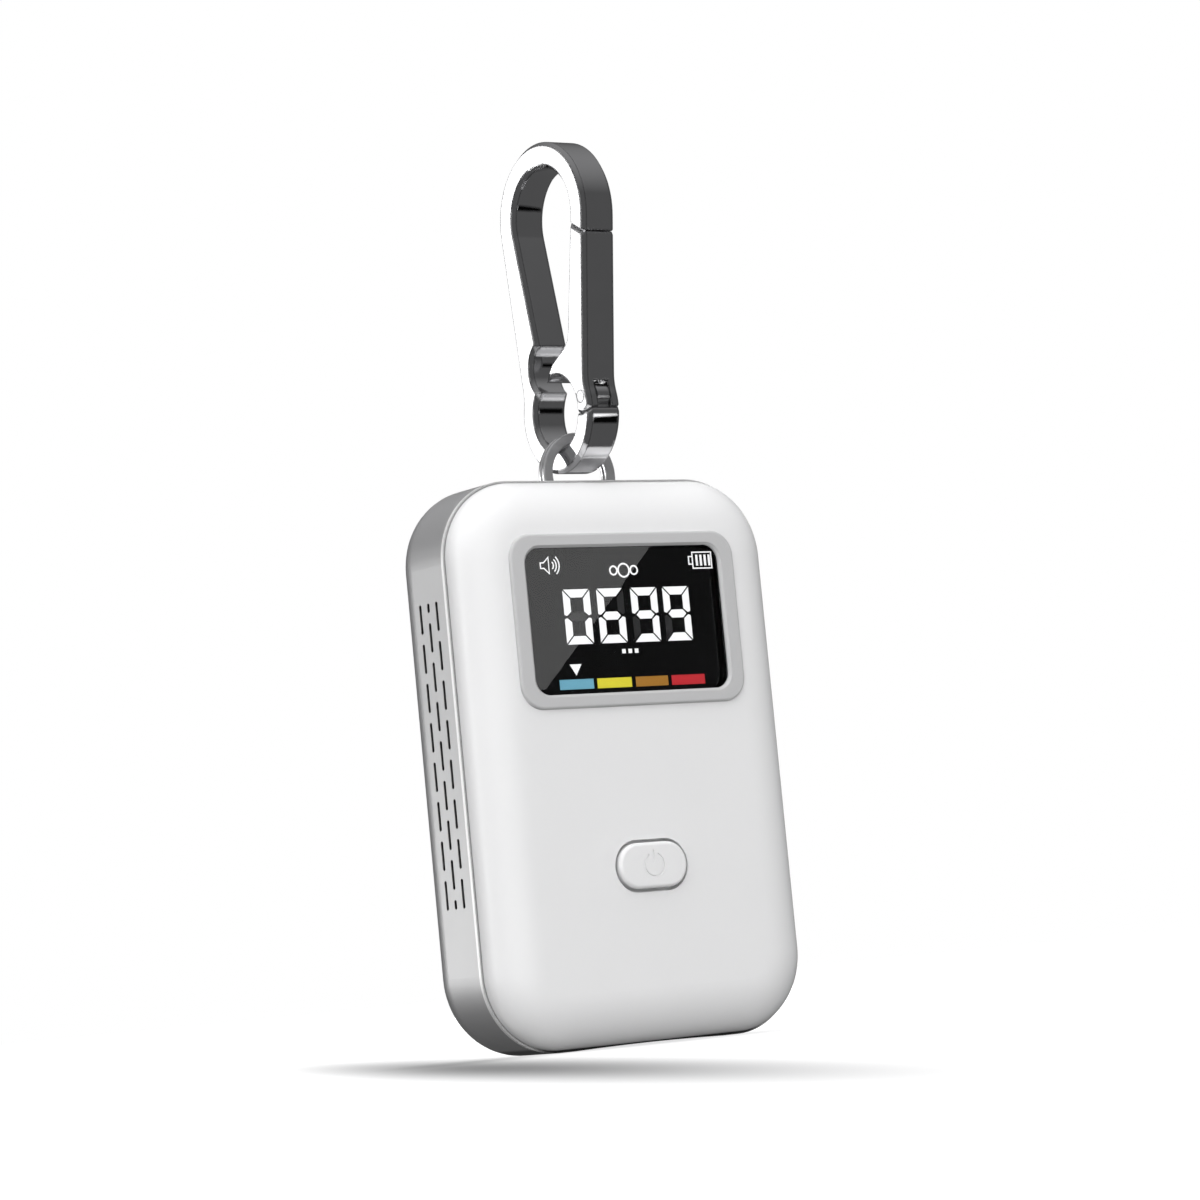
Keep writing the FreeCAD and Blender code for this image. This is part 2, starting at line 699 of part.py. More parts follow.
def battery_lead(x):
    """Lead from the cell's tab up to the plug: an S of two tangent arcs."""
    start_y, start_z = LEAD_START
    end_y, end_z = LEAD_END
    drop = start_y - end_y
    rise = end_z - start_z - 2 * LEAD_STRAIGHT
    radius = (drop ** 2 + rise ** 2) / (4 * drop)
    half = math.atan2(rise / 2, radius - drop / 2) / 2
    sag = radius * (1 - math.cos(half))
    climb = radius * math.sin(half)
    start = Vector(x, start_y, start_z)
    low = Vector(x, start_y, start_z + LEAD_STRAIGHT)
    high = Vector(x, end_y, end_z - LEAD_STRAIGHT)
    middle = Vector(x, (start_y + end_y) / 2, (low.z + high.z) / 2)
    spine = Part.Wire([
        Part.LineSegment(start, low).toShape(),
        Part.Arc(low, Vector(x, start_y - sag, low.z + climb), middle).toShape(),
        Part.Arc(middle, Vector(x, end_y + sag, high.z - climb), high).toShape(),
        Part.LineSegment(high, Vector(x, end_y, end_z)).toShape(),
    ])
    section = Part.Wire([Part.makeCircle(LEAD_R, start, Vector(0, 0, 1))])
    return spine.makePipeShell([section], True, True)


def battery_lead_red():
    """Positive lead."""
    return battery_lead(LEAD_RED_X)


def battery_lead_black():
    """Negative lead."""
    return battery_lead(LEAD_BLACK_X)


def battery_header():
    """Board side of the battery connector."""
    shell = box(HEADER_LEFT, HEADER_RIGHT, PCB_BACK_Y, HEADER_REAR_Y, HEADER_BOTTOM, HEADER_TOP)
    well = box(HEADER_LEFT + HEADER_WALL, HEADER_RIGHT - HEADER_WALL, PCB_BACK_Y + HEADER_WALL,
               HEADER_REAR_Y - HEADER_WALL, HEADER_BOTTOM - 1, HEADER_TOP - HEADER_END_WALL)
    return shell.cut(well)


def battery_plug():
    """Cable side of the battery connector."""
    inset = HEADER_WALL + PLUG_GAP
    return box(HEADER_LEFT + inset, HEADER_RIGHT - inset, PCB_BACK_Y + inset,
               HEADER_REAR_Y - inset, HEADER_BOTTOM, HEADER_TOP - HEADER_END_WALL - PLUG_GAP)


def buzzer():
    """Sounder with a hole in its lid."""
    lid = PCB_BACK_Y + BUZZER_T
    body = cyl_y(BUZZER_X, BUZZER_Z, BUZZER_R, PCB_BACK_Y, lid)
    body = body.makeFillet(0.3, edges_at(body, 1, lid))
    return body.cut(cyl_y(BUZZER_X, BUZZER_Z, BUZZER_HOLE_R, lid - 1.2, lid + 1))


# ---------------------------------------------------------------- port
def usb_slab(margin, z0, z1):
    """Flat-oval section of the port, grown by a margin."""
    half_w = USB_W / 2 + margin
    half_h = USB_H / 2 + margin
    block = box(-half_w, half_w, USB_Y - half_h, USB_Y + half_h, z0, z1)
    return block.makeFillet(half_h * 0.98, edges_along(block, 2))


def usb_shell():
    """Folded metal shell of the port."""
    outer = usb_slab(0, USB_Z, USB_Z + USB_DEPTH)
    return outer.cut(usb_slab(-USB_WALL, USB_Z - 1, USB_Z + USB_DEPTH + 1))


def usb_insert():
    """Moulded core with the contact tongue."""
    inner_end = USB_Z + USB_DEPTH
    core = usb_slab(-USB_WALL - 0.01, inner_end - USB_CORE_T, inner_end)
    tongue = box(-TONGUE_W / 2, TONGUE_W / 2, USB_Y - TONGUE_T / 2, USB_Y + TONGUE_T / 2,
                 USB_Z + TONGUE_SINK, inner_end - 1.5)
    return fuse_all([core, tongue])


def dust_screen(side):
    """Fine screen behind one set of vents."""
    half = SCREEN_T / 2
    x = side * (CASE_W / 2 - WALL - SCREEN_GAP - half)
    bottom = VENT_TOP - VENT_ROWS * VENT_PITCH - SCREEN_OVER_BOTTOM
    return box(x - half, x + half, SCREEN_FRONT_Y, SCREEN_BACK_Y, bottom,
               VENT_TOP + SCREEN_OVER_TOP)


def dust_screen_left():
    """Screen on the -X side."""
    return dust_screen(-1)


def dust_screen_right():
    """Screen on the +X side."""
    return dust_screen(1)


# ---------------------------------------------------------------- fasteners
def screw_slot(x, z, width, height):
    """One bar of the cross in a screw head."""
    top = BACK_Y - SCREW_SINK
    return box(x - width / 2, x + width / 2, top - SCREW_SLOT_DEPTH, top + 1,
               z - height / 2, z + height / 2)


def case_screws():
    """Four machine screws driven from the back."""
    screws = []
    top = BACK_Y - SCREW_SINK
    for x, z in screw_points():
        head = cyl_y(x, z, SCREW_HEAD_R, top - SCREW_HEAD_T, top)
        head = head.makeFillet(0.35, edges_at(head, 1, top))
        shank = cyl_y(x, z, SCREW_R, SCREW_TIP_Y, top - SCREW_HEAD_T)
        cross = [screw_slot(x, z, SCREW_SLOT_LENGTH, SCREW_SLOT),
                 screw_slot(x, z, SCREW_SLOT, SCREW_SLOT_LENGTH)]
        screws.append(fuse_all([head, shank]).cut(cross))
    return Part.makeCompound(screws)


def screw_inserts():
    """Four brass inserts in the cover's bosses."""
    inserts = []
    for x, z in screw_points():
        body = cyl_y(x, z, INSERT_R, PCB_FRONT_Y - INSERT_T, PCB_FRONT_Y - 0.05)
        inserts.append(body.cut(cyl_y(x, z, SCREW_R, PCB_FRONT_Y - 5, PCB_FRONT_Y + 1)))
    return Part.makeCompound(inserts)


# ---------------------------------------------------------------- split ring
def wire_section(angle, y_mid):
    """Cross-section of the flat ring wire at one angle round the ring."""
    half_r = RING_WIRE / 2
    half_t = COIL_T / 2
    block = box(RING_R - half_r, RING_R + half_r, y_mid - half_t, y_mid + half_t, 0, 1)
    block = block.makeFillet(RING_CORNER, edges_along(block, 2))
    wire = [face for face in block.Faces if abs(face.BoundBox.ZMax) < 1e-6][0].OuterWire
    wire.rotate(Vector(0, 0, 0), Vector(0, 1, 0), -angle)
    wire.translate(Vector(0, 0, RING_Z))
    return wire


def coil(y_mid, start, sweep):
    """One turn of the ring, as a swept arc."""
    face = Part.Face(wire_section(start, y_mid))
    return face.revolve(Vector(0, 0, RING_Z), Vector(0, -1, 0), sweep)


def split_ring():
    """Two coils joined by a crossover that sits inside the case."""
    y_front = -COIL_SPACING / 2
    y_rear = COIL_SPACING / 2
    start = -90 + STEP_ANGLE / 2
    sweep = 360 - STEP_ANGLE
    sections = []
    for i in range(STEP_SECTIONS + 1):
        part = i / STEP_SECTIONS
        ease = (1 - math.cos(math.pi * part)) / 2
        angle = start - STEP_ANGLE * (1 - part)
        sections.append(wire_section(angle, y_front + (y_rear - y_front) * ease))
    crossover = Part.makeLoft(sections, True, False)
    return fuse_all([coil(y_front, start, sweep), crossover, coil(y_rear, start, sweep)])


# ---------------------------------------------------------------- carabiner
def disc(y, z, radius, half=PLATE_T / 2):
    """Disc in the YZ plane."""
    return cyl_x(y, z, radius, -half, half)


def on_circle(y, z, radius, degrees):
    """Point (y, z) on a circle."""
    angle = math.radians(degrees)
    return (y + radius * math.cos(angle), z + radius * math.sin(angle))


def tangent_point(centre, radius, point, side):
    """Where a line from a point touches a circle; side is +1 for the +Y side."""
    dy = point[0] - centre[0]
    dz = point[1] - centre[1]
    lean = math.acos(radius / math.hypot(dy, dz))
    angle = math.atan2(dz, dy) + side * lean
    return (centre[0] + radius * math.cos(angle), centre[1] + radius * math.sin(angle))


def edges_on_x_at(shape, y, z):
    """Edges parallel to X that pass through (y, z)."""
    found = []
    for edge in edges_along(shape, 0):
        point = edge.Vertexes[0].Point
        if math.hypot(point.y - y, point.z - z) < 0.02:
            found.append(edge)
    return found


def plate_outline():
    """Outer shape of the carabiner: wide head, narrow waist, round foot."""
    waist_z = FOOT_Z + math.sqrt(FOOT_R ** 2 - WAIST_HALF ** 2)
    left = tangent_point((HEAD_Y, HEAD_Z), HEAD_R, (-WAIST_HALF, waist_z), -1)
    right = tangent_point((HEAD_Y, HEAD_Z), HEAD_R, (WAIST_HALF, waist_z), 1)
    body = extrude_yz([(HEAD_Y, HEAD_Z), left, (-WAIST_HALF, waist_z), (0, FOOT_Z),
                       (WAIST_HALF, waist_z), right], PLATE_T / 2)
    plate = fuse_all([disc(HEAD_Y, HEAD_Z, HEAD_R), disc(0, FOOT_Z, FOOT_R), body])
    waist = edges_on_x_at(plate, -WAIST_HALF, waist_z) + edges_on_x_at(plate, WAIST_HALF, waist_z)
    return plate.makeFillet(WAIST_ROUND, waist)


def main_opening(half):
    """Opening the strap or belt loop sits in, down to the tongue."""
    tip = on_circle(0, EYE_Z, EYE_R, TONGUE_TIP_ANGLE)
    root = (TONGUE_ROOT_Y, TONGUE_ROOT_Z)
    throat = on_circle(NOTCH_Y, NOTCH_Z, NOTCH_R, THROAT_ANGLE)
    centre = (HEAD_HOLE_Y, HEAD_Z)
    left = tangent_point(centre, HEAD_HOLE_R, root, -1)
    right = tangent_point(centre, HEAD_HOLE_R, throat, 1)
    bend = (TONGUE_BEND_Y, TONGUE_BEND_Z)
    funnel = extrude_yz([centre, left, root, bend, tip, throat, right], half)
    opening = fuse_all([disc(HEAD_HOLE_Y, HEAD_Z, HEAD_HOLE_R, half), funnel])
    return opening.makeFillet(TONGUE_ROUND, edges_on_x_at(opening, *root))


def spine_openings():
    """What is cut from the plate to leave the frame's inner outline."""
    return [main_opening(PLATE_T), cyl_x(0, EYE_Z, EYE_R, -PLATE_T, PLATE_T),
            cyl_x(NOTCH_Y, NOTCH_Z, NOTCH_R, -PLATE_T, PLATE_T)]


def gate_zone(grow):
    """Region of the plate that belongs to the gate, grown for clearance."""
    slope = (NOSE_IN_Z - NOSE_OUT_Z) / (NOSE_IN_Y - NOSE_OUT_Y)
    left = NOSE_OUT_Y - 2
    right = TONGUE_BEND_Y
    parting_left = NOSE_OUT_Z + (left - NOSE_OUT_Y) * slope + grow
    parting_right = NOSE_OUT_Z + (right - NOSE_OUT_Y) * slope + grow
    past_tip = on_circle(0, EYE_Z, EYE_R, TONGUE_TIP_ANGLE)[0] + 0.3
    corners = [(left, PIVOT_Z), (past_tip, PIVOT_Z), (past_tip, TONGUE_BEND_Z),
               (right, TONGUE_BEND_Z + 2), (right, parting_right), (left, parting_left)]
    zone = extrude_yz(corners, PLATE_T)
    return zone.fuse(cyl_x(PIVOT_Y, PIVOT_Z, KNUCKLE_R + grow, -PLATE_T, PLATE_T))


def bevelled(shape):
    """Bevel the outline edges on both flat faces."""
    half = PLATE_T / 2
    edges = edges_at(shape, 0, -half) + edges_at(shape, 0, half)
    return shape.makeChamfer(PLATE_EDGE, edges)


def largest(shape):
    """The biggest solid of a shape."""
    return max(shape.Solids, key=lambda solid: solid.Volume)


def carabiner_frame():
    """Open C of the carabiner with the hinge lug."""
    plate = bevelled(plate_outline().cut(spine_openings()))
    frame = largest(plate.cut(gate_zone(GATE_GAP)))
    half = LUG_T / 2
    foot_z = PIVOT_Z - STEM_DROP
    lug = cyl_x(PIVOT_Y, PIVOT_Z, LUG_R, -half, half)
    stem = extrude_yz([(PIVOT_Y + STEM_TOP[0], PIVOT_Z), (PIVOT_Y + STEM_FOOT[0], foot_z),
                       (PIVOT_Y + STEM_FOOT[1], foot_z), (PIVOT_Y + STEM_TOP[1], PIVOT_Z)], half)
    frame = fuse_all([frame, lug, stem])
    return frame.cut(cyl_x(PIVOT_Y, PIVOT_Z, PIVOT_R, -PLATE_T, PLATE_T))


def carabiner_gate():
    """Sprung gate: slotted over the lug, bored for the pin and its spring."""
    eye = cyl_x(0, EYE_Z, EYE_R, -PLATE_T, PLATE_T)
    plate = plate_outline().cut([main_opening(PLATE_T), eye])
    gate = bevelled(largest(plate.common(gate_zone(0))))
    slot_half = LUG_T / 2 + LUG_SIDE
    slot = box(-slot_half, slot_half, PIVOT_Y - 3.5, PIVOT_Y + 2.6,
               PIVOT_Z - 3.0, PIVOT_Z + LUG_R + 0.15)
    pin_hole = cyl_x(PIVOT_Y, PIVOT_Z, PIVOT_R + PIVOT_FIT, -PLATE_T, PLATE_T)
    bore_len = SPRING_Z0 + SPRING_LEN - PIVOT_Z
    bore = Part.makeCylinder(SPRING_BORE_R, bore_len, Vector(0, PIVOT_Y, PIVOT_Z))
    return gate.cut([slot, pin_hole, bore])


def gate_pin():
    """Pin through the gate's cheeks, pressed in the lug."""
    half = PLATE_T / 2
    return cyl_x(PIVOT_Y, PIVOT_Z, PIVOT_R, -half, half)


def gate_spring():
    """Coil spring that pushes the gate shut."""
    length = SPRING_LEN - 2 * SPRING_WIRE_R - 2 * SPRING_END
    helix = Part.makeHelix(length / SPRING_TURNS, length, SPRING_COIL_R)
    circle = Part.makeCircle(SPRING_WIRE_R, Vector(SPRING_COIL_R, 0, 0), Vector(0, 1, 0))
    spring = Part.Wire(helix).makePipeShell([Part.Wire([circle])], True, True)
    return moved(spring, 0, PIVOT_Y, SPRING_Z0 + SPRING_WIRE_R + SPRING_END)


# ---------------------------------------------------------------- output
PARTS = {
    "rear_housing": rear_housing,
    "front_cover": front_cover,
    "display_bezel": display_bezel,
    "display_window": display_window,
    "lcd_panel": lcd_panel,
    "lcd_backlight": lcd_backlight,
    "lcd_holder": lcd_holder,
    "lcd_flex": lcd_flex,
    "power_button": power_button,
    "tact_switch": tact_switch,
    "switch_plunger": switch_plunger,
    "main_pcb": main_pcb,
    "mcu_chip": mcu_chip,
    "charger_chip": charger_chip,
    "power_inductor": power_inductor,
    "chip_capacitors": chip_capacitors,
    "co2_sensor_base": co2_sensor_base,
    "co2_sensor_can": co2_sensor_can,
    "sensor_membrane": sensor_membrane,
    "humidity_sensor": humidity_sensor,
    "chamber_foam": chamber_foam,
    "battery_cell": battery_cell,
    "battery_pad": battery_pad,
    "battery_lead_red": battery_lead_red,
    "battery_lead_black": battery_lead_black,
    "battery_plug": battery_plug,
    "battery_header": battery_header,
    "buzzer": buzzer,
    "usb_shell": usb_shell,
    "usb_insert": usb_insert,
    "dust_screen_left": dust_screen_left,
    "dust_screen_right": dust_screen_right,
    "case_screws": case_screws,
    "screw_inserts": screw_inserts,
    "split_ring": split_ring,
    "carabiner_frame": carabiner_frame,
    "carabiner_gate": carabiner_gate,
    "gate_pin": gate_pin,
    "gate_spring": gate_spring,
}

os.makedirs("parts", exist_ok=True)
for name, build in PARTS.items():
    shape = moved(build(), y=SET_BACK)
    shape.exportStep("parts/%s.step" % name)
    print(name, len(shape.Solids), round(shape.Volume, 2), shape.isValid())
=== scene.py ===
"""Looks for the pocket air quality monitor: materials, the lit display, camera and studio.

The model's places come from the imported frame. Lengths are metres, except that the display's
marks are drawn in millimetres and the materials' grain sizes are in millimetres.
"""
import json
import math

import bmesh
import bpy
from mathutils import Matrix, Vector


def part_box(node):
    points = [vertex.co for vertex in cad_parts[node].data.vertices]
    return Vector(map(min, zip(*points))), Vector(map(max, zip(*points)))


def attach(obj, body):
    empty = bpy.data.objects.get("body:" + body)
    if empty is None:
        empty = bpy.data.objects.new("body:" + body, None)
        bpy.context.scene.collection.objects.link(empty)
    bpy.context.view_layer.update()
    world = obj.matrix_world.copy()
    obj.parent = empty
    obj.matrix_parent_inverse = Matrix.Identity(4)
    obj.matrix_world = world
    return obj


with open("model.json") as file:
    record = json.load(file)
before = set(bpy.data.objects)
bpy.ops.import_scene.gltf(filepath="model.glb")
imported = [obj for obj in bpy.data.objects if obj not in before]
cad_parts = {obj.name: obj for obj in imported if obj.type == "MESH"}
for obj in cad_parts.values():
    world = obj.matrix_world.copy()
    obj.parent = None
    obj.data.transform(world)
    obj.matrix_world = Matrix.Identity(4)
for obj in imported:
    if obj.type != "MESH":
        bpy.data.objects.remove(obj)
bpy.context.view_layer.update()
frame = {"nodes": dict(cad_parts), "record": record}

MM = 0.001

# ---- camera: the photograph's viewing angle ----
CAMERA_AT = Vector((-0.2675, -0.3847, 0.0080))
CAMERA_YAW = 34.92
CAMERA_PITCH = 5.38
CAMERA_ROLL = 5.50
CAMERA_LENS = 120.0

# ---- pool of shade on the floor: its two skewed axes (per metre) and their offsets ----
SHADE_ACROSS = (20.30, -13.50, 0.0)
SHADE_ACROSS_AT = 0.36
SHADE_ALONG = (-56.28, 22.01, 0.0)
SHADE_ALONG_AT = -1.687
SHADE_DEPTH = 0.86
CONTACT_SIZE = (0.036, 0.024, 1.0)     # faint shade close round the case
CONTACT_DEPTH = 0.30
FLOOR_Z = -0.00005                     # just under the case, so that no two faces coincide
FLOOR_HALF = 3.0

# ---- lights: name, place, side, watts ----
LIGHT_TARGET = Vector((0, 0, 0.05))
LIGHTS = (
    ("light_left", (-0.60, -0.30, 0.30), 0.5, 2.6),
    ("light_top", (-0.05, -0.10, 0.70), 0.6, 3.3),
    ("light_right", (0.60, -0.25, 0.25), 0.5, 0.6),
    ("light_front", (-0.05, -0.65, 0.02), 0.5, 2.75),
    ("light_back", (0.45, 0.55, 0.30), 0.6, 14.0),
)

# ---- cards that only mirroring surfaces see: corners as (across, height) ----
SIDE_X = -0.20                         # behind the left side
SIDE_LOW = -0.20
SIDE_HIGH = 0.109                      # the card for the housing ends here, the carabiner's starts
SIDE_STOPS = ((0.0, 0.05), (0.25, 0.12), (0.45, 0.30), (0.60, 0.62), (0.67, 1.0), (0.71, 1.0),
              (0.80, 0.46), (0.92, 0.52), (1.0, 0.80))
CHROME_HIGH = 0.20
LEFT_X = -0.60
LEFT_LOW = -0.05
LEFT_HIGH = 0.40
GLARE_Y = -0.0600                      # close in front of the window
GLARE_CORNERS = ((0.0221, 0.0646), (0.0427, 0.0646), (0.0237, 0.0460), (0.0221, 0.0460))
DARK_Y = -0.0605                       # behind the glare, for the window's black part
DARK_CORNERS = ((0.0215, 0.0655), (0.0560, 0.0655), (0.0560, 0.0450), (0.0215, 0.0450))
WINDOW_LOW = 0.04
WINDOW_HIGH = 0.07

# ---- room: brightness below and above, as lit surfaces and as mirrors see it ----
ROOM_LIT = ((0.0, (0.16, 0.16, 0.16, 1)), (0.5, (0.30, 0.30, 0.305, 1)))
ROOM_MIRRORED = ((0.40, (0.095, 0.095, 0.096, 1)), (0.90, (0.28, 0.28, 0.283, 1)))
ROOM_SEEN = (1, 1, 1, 1)

# ---- details of the materials ----
FLOW_MARKS = 0.97                      # how dark the flow marks of moulded plastic are
SEAM_HIGHLIGHT_EDGE = -0.00255                    # painted highlight: the housing is paler in front of this, along its seam
# colour of the painted highlight along the seam
SEAM_HIGHLIGHT_COLOUR = (0.83, 0.83, 0.83)
SLOT_SHADE_REACH = 0.9 * MM                  # painted shade in the slots: how far the open air is felt for
# painted shade: the near-black colour painted deep in the slots
SLOT_PAINTED_SHADE = (0.004, 0.004, 0.004)
PAINTED_OUTLINE_SHADE = 0.05                   # how dark the painted shade along a polished part's outline is

# ---- display content ----
INK_T = 0.03 * MM          # thickness of the lit marks
INK_GAP = 0.02 * MM        # in front of the display glass
CONTENT_DX = 0.55          # the content sits this far right of the window's middle
CONTENT_DZ = 0.10
DRAWN_MIDDLE = 49.1        # height of the window's middle in the marks' own numbers
DIGITS = "0699"
DIGIT_LEFT = (-8.70, -3.95, 0.85, 5.45)
DIGIT_BOTTOM = 46.35
DIGIT_W = 3.75
DIGIT_H = 6.4
STROKE = 0.95
JOINT = 0.13
LIT = {
    "0": "abcdef",
    "6": "acdefg",
    "9": "abcdfg",
}
BAR_BOTTOM = 41.15
BAR_TOP = 42.3
BARS = (
    ("lcd_bar_blue", -10.26, -5.53, (0.14, 0.38, 0.50)),
    ("lcd_bar_yellow", -5.00, -0.16, (0.70, 0.62, 0.03)),
    ("lcd_bar_brown", 0.44, 5.05, (0.34, 0.15, 0.01)),
    ("lcd_bar_red", 5.58, 10.36, (0.50, 0.012, 0.02)),
)
WHITE_INK = (1.0, 1.0, 1.0)


# ---------------------------------------------------------------- materials
class Shader:
    """Builds one node material."""

    def __init__(self, name):
        self.material = bpy.data.materials.new(name)
        self.material.use_nodes = True
        self.tree = self.material.node_tree
        self.tree.nodes.clear()
        self.place = self.add("TexCoord").outputs["Object"]

    def add(self, kind, ins=None, **props):
        """One node. Sockets given as inputs are linked; other values are set."""
        node = self.tree.nodes.new("ShaderNode" + kind)
        for key, value in props.items():
            setattr(node, key, value)
        for key, value in (ins or {}).items():
            if isinstance(value, bpy.types.NodeSocket):
                self.tree.links.new(value, node.inputs[key])
            else:
                node.inputs[key].default_value = value
        return node

    def spot(self, stretch=(1, 1, 1)):
        """Object coordinates in millimetres, stretched."""
        scale = [1000.0 / s for s in stretch]
        return self.add("Mapping", {"Vector": self.place, "Scale": scale}).outputs[0]

    def noise(self, size, detail=2.0, stretch=(1, 1, 1)):
        """Noise whose features are about size millimetres."""
        ins = {"Vector": self.spot(stretch), "Scale": 1.0 / size, "Detail": detail}
        return self.add("TexNoise", ins).outputs["Fac"]

    def cells(self, size, feature="F1"):
        """Cell pattern whose cells are about size millimetres."""
        ins = {"Vector": self.spot(), "Scale": 1.0 / size}
        return self.add("TexVoronoi", ins, feature=feature).outputs["Distance"]

    def waves(self, size, axis):
        """Straight bands across one axis, size millimetres apart."""
        ins = {"Vector": self.spot(), "Scale": math.pi / (10.0 * size)}
        return self.add("TexWave", ins, bands_direction=axis).outputs["Fac"]

    def maths(self, operation, a, b):
        """One sum."""
        node = self.add("Math", operation=operation)
        for socket, value in zip(node.inputs, (a, b)):
            if isinstance(value, bpy.types.NodeSocket):
                self.tree.links.new(value, socket)
            else:
                socket.default_value = value
        return node.outputs[0]

    def ranged(self, fac, low, high):
        """A 0..1 value moved to low..high."""
        return self.add("MapRange", {"Value": fac, "To Min": low, "To Max": high}).outputs[0]

    def sharp(self, fac, low, high):
        """0 below low, 1 above high."""
        return self.add("MapRange", {"Value": fac, "From Min": low, "From Max": high}).outputs[0]

    def along(self, axis):
        """How far a place lies along an axis."""
        reach = self.add("VectorMath", {0: self.place, 1: axis}, operation="DOT_PRODUCT")
        return reach.outputs["Value"]

    def falloff(self, squared, depth):
        """depth where the squared radius is 0, easing to 0 where it is 1."""
        left = self.maths("MAXIMUM", self.maths("SUBTRACT", 1.0, squared), 0.0)
        return self.maths("MULTIPLY", self.maths("MULTIPLY", left, left), depth)

    def mix(self, fac, a, b):
        """Two colours mixed by a value."""
        ins = {"Fac": fac, "Color1": rgba(a), "Color2": rgba(b)}
        return self.add("MixRGB", ins).outputs[0]

    def bump(self, height, depth, below=None):
        """Bump of that many millimetres."""
        ins = {"Height": height, "Distance": depth * MM, "Strength": 1.0}
        if below is not None:
            ins["Normal"] = below
        return self.add("Bump", ins).outputs[0]

    def soft_edges(self, radius):
        """Normal with edges rounded by that many millimetres."""
        return self.add("Bevel", {"Radius": radius * MM}, samples=4).outputs[0]

    def surface(self, **ins):
        """Ends the material in one Principled surface."""
        named = {key.replace("_", " "): value for key, value in ins.items()}
        body = self.add("BsdfPrincipled", named)
        self.close(body.outputs[0])
        return self.material

    def close(self, socket):
        """Links a shader to the output."""
        out = self.add("OutputMaterial")
        self.tree.links.new(socket, out.inputs["Surface"])


def rgba(colour):
    """A colour with alpha, or the socket it already is."""
    if isinstance(colour, bpy.types.NodeSocket):
        return colour
    return (*colour[:3], 1.0)


def shade(colour, amount):
    """A colour made lighter or darker."""
    return tuple(min(1.0, channel * amount) for channel in colour)


def plastic(name, colour, rough=0.35, grain=0.3, depth=0.004, coat=0.0, coat_rough=0.08,
            slots=False):
    """Moulded plastic: faint flow marks, uneven gloss, a fine texture and soft edges."""
    s = Shader(name)
    tint = s.mix(s.noise(9.0, 3.0), colour, shade(colour, FLOW_MARKS))
    if slots:
        # painted shade: near black, and no coat, where the slots shut out the open air
        open_air = s.add("AmbientOcclusion", {"Distance": SLOT_SHADE_REACH}, samples=8).outputs["AO"]
        lit = s.sharp(open_air, 0.45, 0.95)
        # painted highlight: a pale line along the housing's seam with the cover
        depth_in = s.add("SeparateXYZ", {"Vector": s.place}).outputs["Y"]
        tint = s.mix(s.maths("LESS_THAN", depth_in, SEAM_HIGHLIGHT_EDGE), tint, SEAM_HIGHLIGHT_COLOUR)
        tint = s.mix(lit, SLOT_PAINTED_SHADE, tint)
        coat = s.maths("MULTIPLY", lit, coat)
    gloss = s.ranged(s.noise(3.0, 4.0), rough * 0.88, rough * 1.12)
    relief = s.bump(s.noise(grain, 3.0), depth, s.soft_edges(0.08))
    return s.surface(Base_Color=tint, Roughness=gloss, Normal=relief,
                     Coat_Weight=coat, Coat_Roughness=coat_rough)


def metal(name, colour, rough=0.2, stretch=(1, 1, 1), size=0.3, depth=0.001, ripple=0.0, edge=0.06,
          outline=0.0, metallic=1.0):
    """Metal: fine marks along one direction, smears in its gloss, soft edges, and painted shade
    along its outline.
    """
    s = Shader(name)
    smear = s.noise(2.2, 4.0)
    tint = s.mix(smear, colour, shade(colour, 0.93))
    # painted shade: the colour darkens where the softened edge turns away from the flat face
    if outline:
        plain = s.add("NewGeometry").outputs["Normal"]
        facing = s.add("VectorMath", {0: s.soft_edges(outline), 1: plain},
                       operation="DOT_PRODUCT").outputs["Value"]
        tint = s.mix(s.sharp(facing, 0.88, 0.99), shade(colour, PAINTED_OUTLINE_SHADE), tint)
    gloss = s.ranged(s.noise(size, 3.0, stretch), rough * 0.7, rough * 1.35)
    normal = s.bump(s.noise(size, 2.0, stretch), depth, s.soft_edges(edge))
    if ripple:
        normal = s.bump(s.noise(4.5, 1.0), ripple, normal)
    return s.surface(Base_Color=tint, Metallic=metallic, Roughness=gloss, Normal=normal)


def foam(name, colour, cell):
    """Open foam or felt: small cells, no gloss."""
    s = Shader(name)
    pores = s.cells(cell)
    tint = s.mix(pores, shade(colour, 0.55), colour)
    relief = s.bump(pores, cell * 0.5)
    return s.surface(Base_Color=tint, Roughness=0.95, Normal=relief)


def window_glass(name):
    """Clear moulded window with a trace of dust and wipe marks in its gloss."""
    s = Shader(name)
    gloss = s.ranged(s.noise(5.0, 4.0, (1, 1, 3)), 0.0, 0.008)
    return s.surface(Base_Color=(0.98, 0.985, 0.99, 1.0), Roughness=gloss, IOR=1.49,
                     Transmission_Weight=1.0, Normal=s.bump(s.noise(8.0, 1.0), 0.0002))


def display_glass(name):
    """Black display glass with a barely seen electrode pattern."""
    s = Shader(name)
    grid = s.maths("MAXIMUM", s.sharp(s.waves(0.35, "X"), 0.93, 1.0),
                   s.sharp(s.waves(0.35, "Z"), 0.93, 1.0))
    tint = s.mix(grid, (0.0008, 0.0008, 0.001), (0.002, 0.002, 0.0025))
    gloss = s.ranged(s.noise(4.0, 3.0), 0.16, 0.24)
    return s.surface(Base_Color=tint, Roughness=gloss, Specular_IOR_Level=0.08)


def light_guide(name):
    """Milky light guide with printed dots."""
    s = Shader(name)
    dots = s.sharp(s.cells(0.45), 0.16, 0.2)
    tint = s.mix(dots, (0.95, 0.95, 0.95), (0.78, 0.80, 0.82))
    return s.surface(Base_Color=tint, Roughness=s.ranged(s.noise(2.0), 0.2, 0.3),
                     Subsurface_Weight=0.2, Subsurface_Scale=0.4 * MM)


